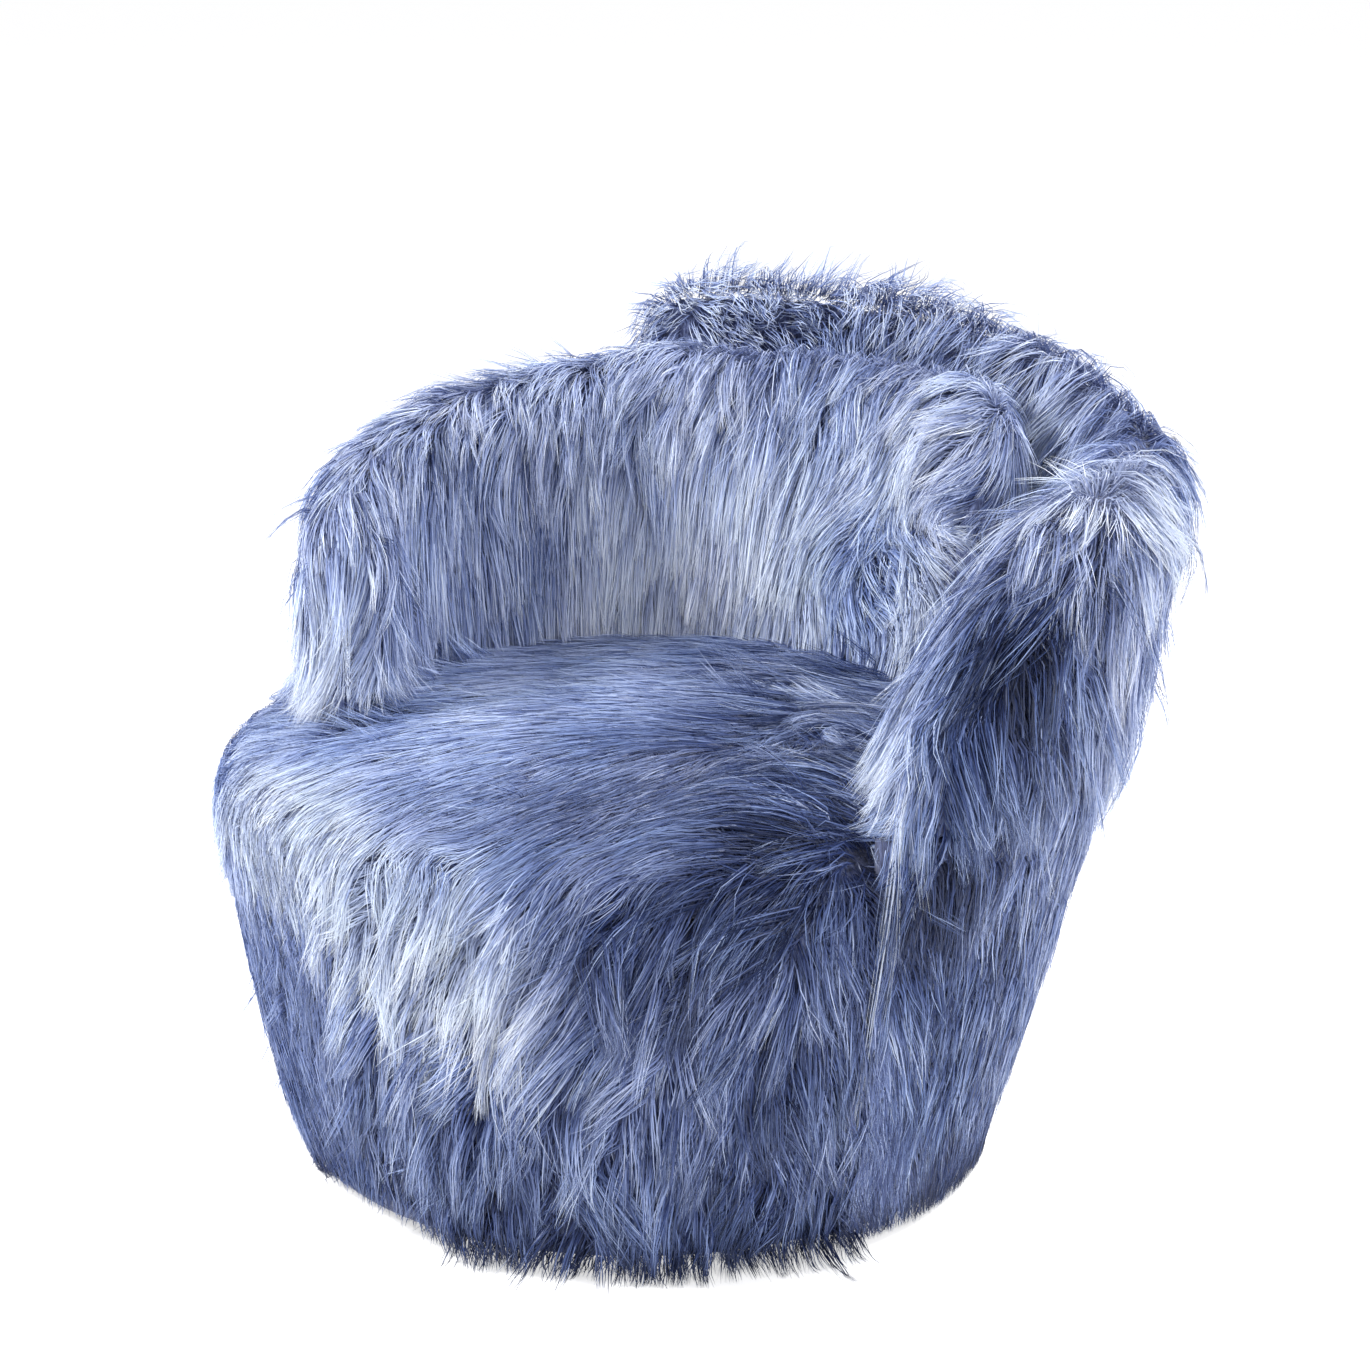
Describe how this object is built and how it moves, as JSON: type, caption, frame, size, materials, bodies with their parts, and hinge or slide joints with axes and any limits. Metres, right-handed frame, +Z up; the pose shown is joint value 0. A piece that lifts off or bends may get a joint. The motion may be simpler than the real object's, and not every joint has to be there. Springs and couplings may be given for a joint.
{
  "type": "swivel tub chair",
  "caption": "Round upholstered swivel tub chair in long blue fur, with a back of two overlapping curved wings over a drum seat on a recessed plinth.",
  "frame": {"origin": "on the floor, on the swivel axis, under the plinth's middle glide", "axes": "+Z up along the swivel axis, -Y out of the open front of the seat, +X towards the sitter's left arm, which is the outer wing"},
  "size_m": [0.8451, 0.8507, 0.718],
  "materials": {
    "plinth_black": "satin black stain",
    "plywood": "raw birch plywood",
    "hardwood": "raw planed hardwood",
    "glide": "matte nylon",
    "zinc_plate": "zinc plated",
    "fixing": "bright zinc",
    "ball_steel": "polished",
    "cage_nylon": "matte nylon",
    "cambric": "black non-woven cloth",
    "jute": "woven webbing",
    "foam": "cut foam",
    "wadding": "soft wadding",
    "blue_fur": "long shaggy pile"
  },
  "bodies": {
    "base": {"plinth_ring": "plinth_black", "plinth_board": "plywood", "plinth_floor": "plinth_black", "plinth_glides": "glide", "lower_race_plate": "zinc_plate", "plate_screws": "fixing", "pivot_bolt": "fixing", "pivot_nut": "fixing"},
    "race": {"race_balls": "ball_steel", "ball_cage": "cage_nylon"},
    "seat": {"upper_race_plate": "zinc_plate", "plate_bolts": "fixing", "base_deck": "plywood", "dust_cover": "cambric", "drum_posts": "hardwood", "drum_wall": "plywood", "seat_ring": "plywood", "webbing_under": "jute", "webbing_over": "jute", "wing_dowels": "hardwood", "drum_padding": "wadding", "drum_fur": "blue_fur", "skirt_fur": "blue_fur", "seat_foam": "foam", "seat_fur": "blue_fur", "inner_wing_core": "plywood", "inner_wing_foam": "foam", "inner_wing_fur": "blue_fur", "outer_wing_core": "plywood", "outer_wing_foam": "foam", "outer_wing_fur": "blue_fur"}
  },
  "joints": [
    {"name": "seat_swivel", "type": "hinge", "parent": "base", "child": "seat", "pos_m": [0, 0, 0.0695], "axis": [0, 0, 1], "continuous": true},
    {"name": "race_roll", "type": "hinge", "parent": "base", "child": "race", "pos_m": [0, 0, 0.0695], "axis": [0, 0, 1], "continuous": true}
  ],
  "couplings": [
    {"joint": "race_roll", "follows": "seat_swivel", "ratio": 0.5}
  ]
}
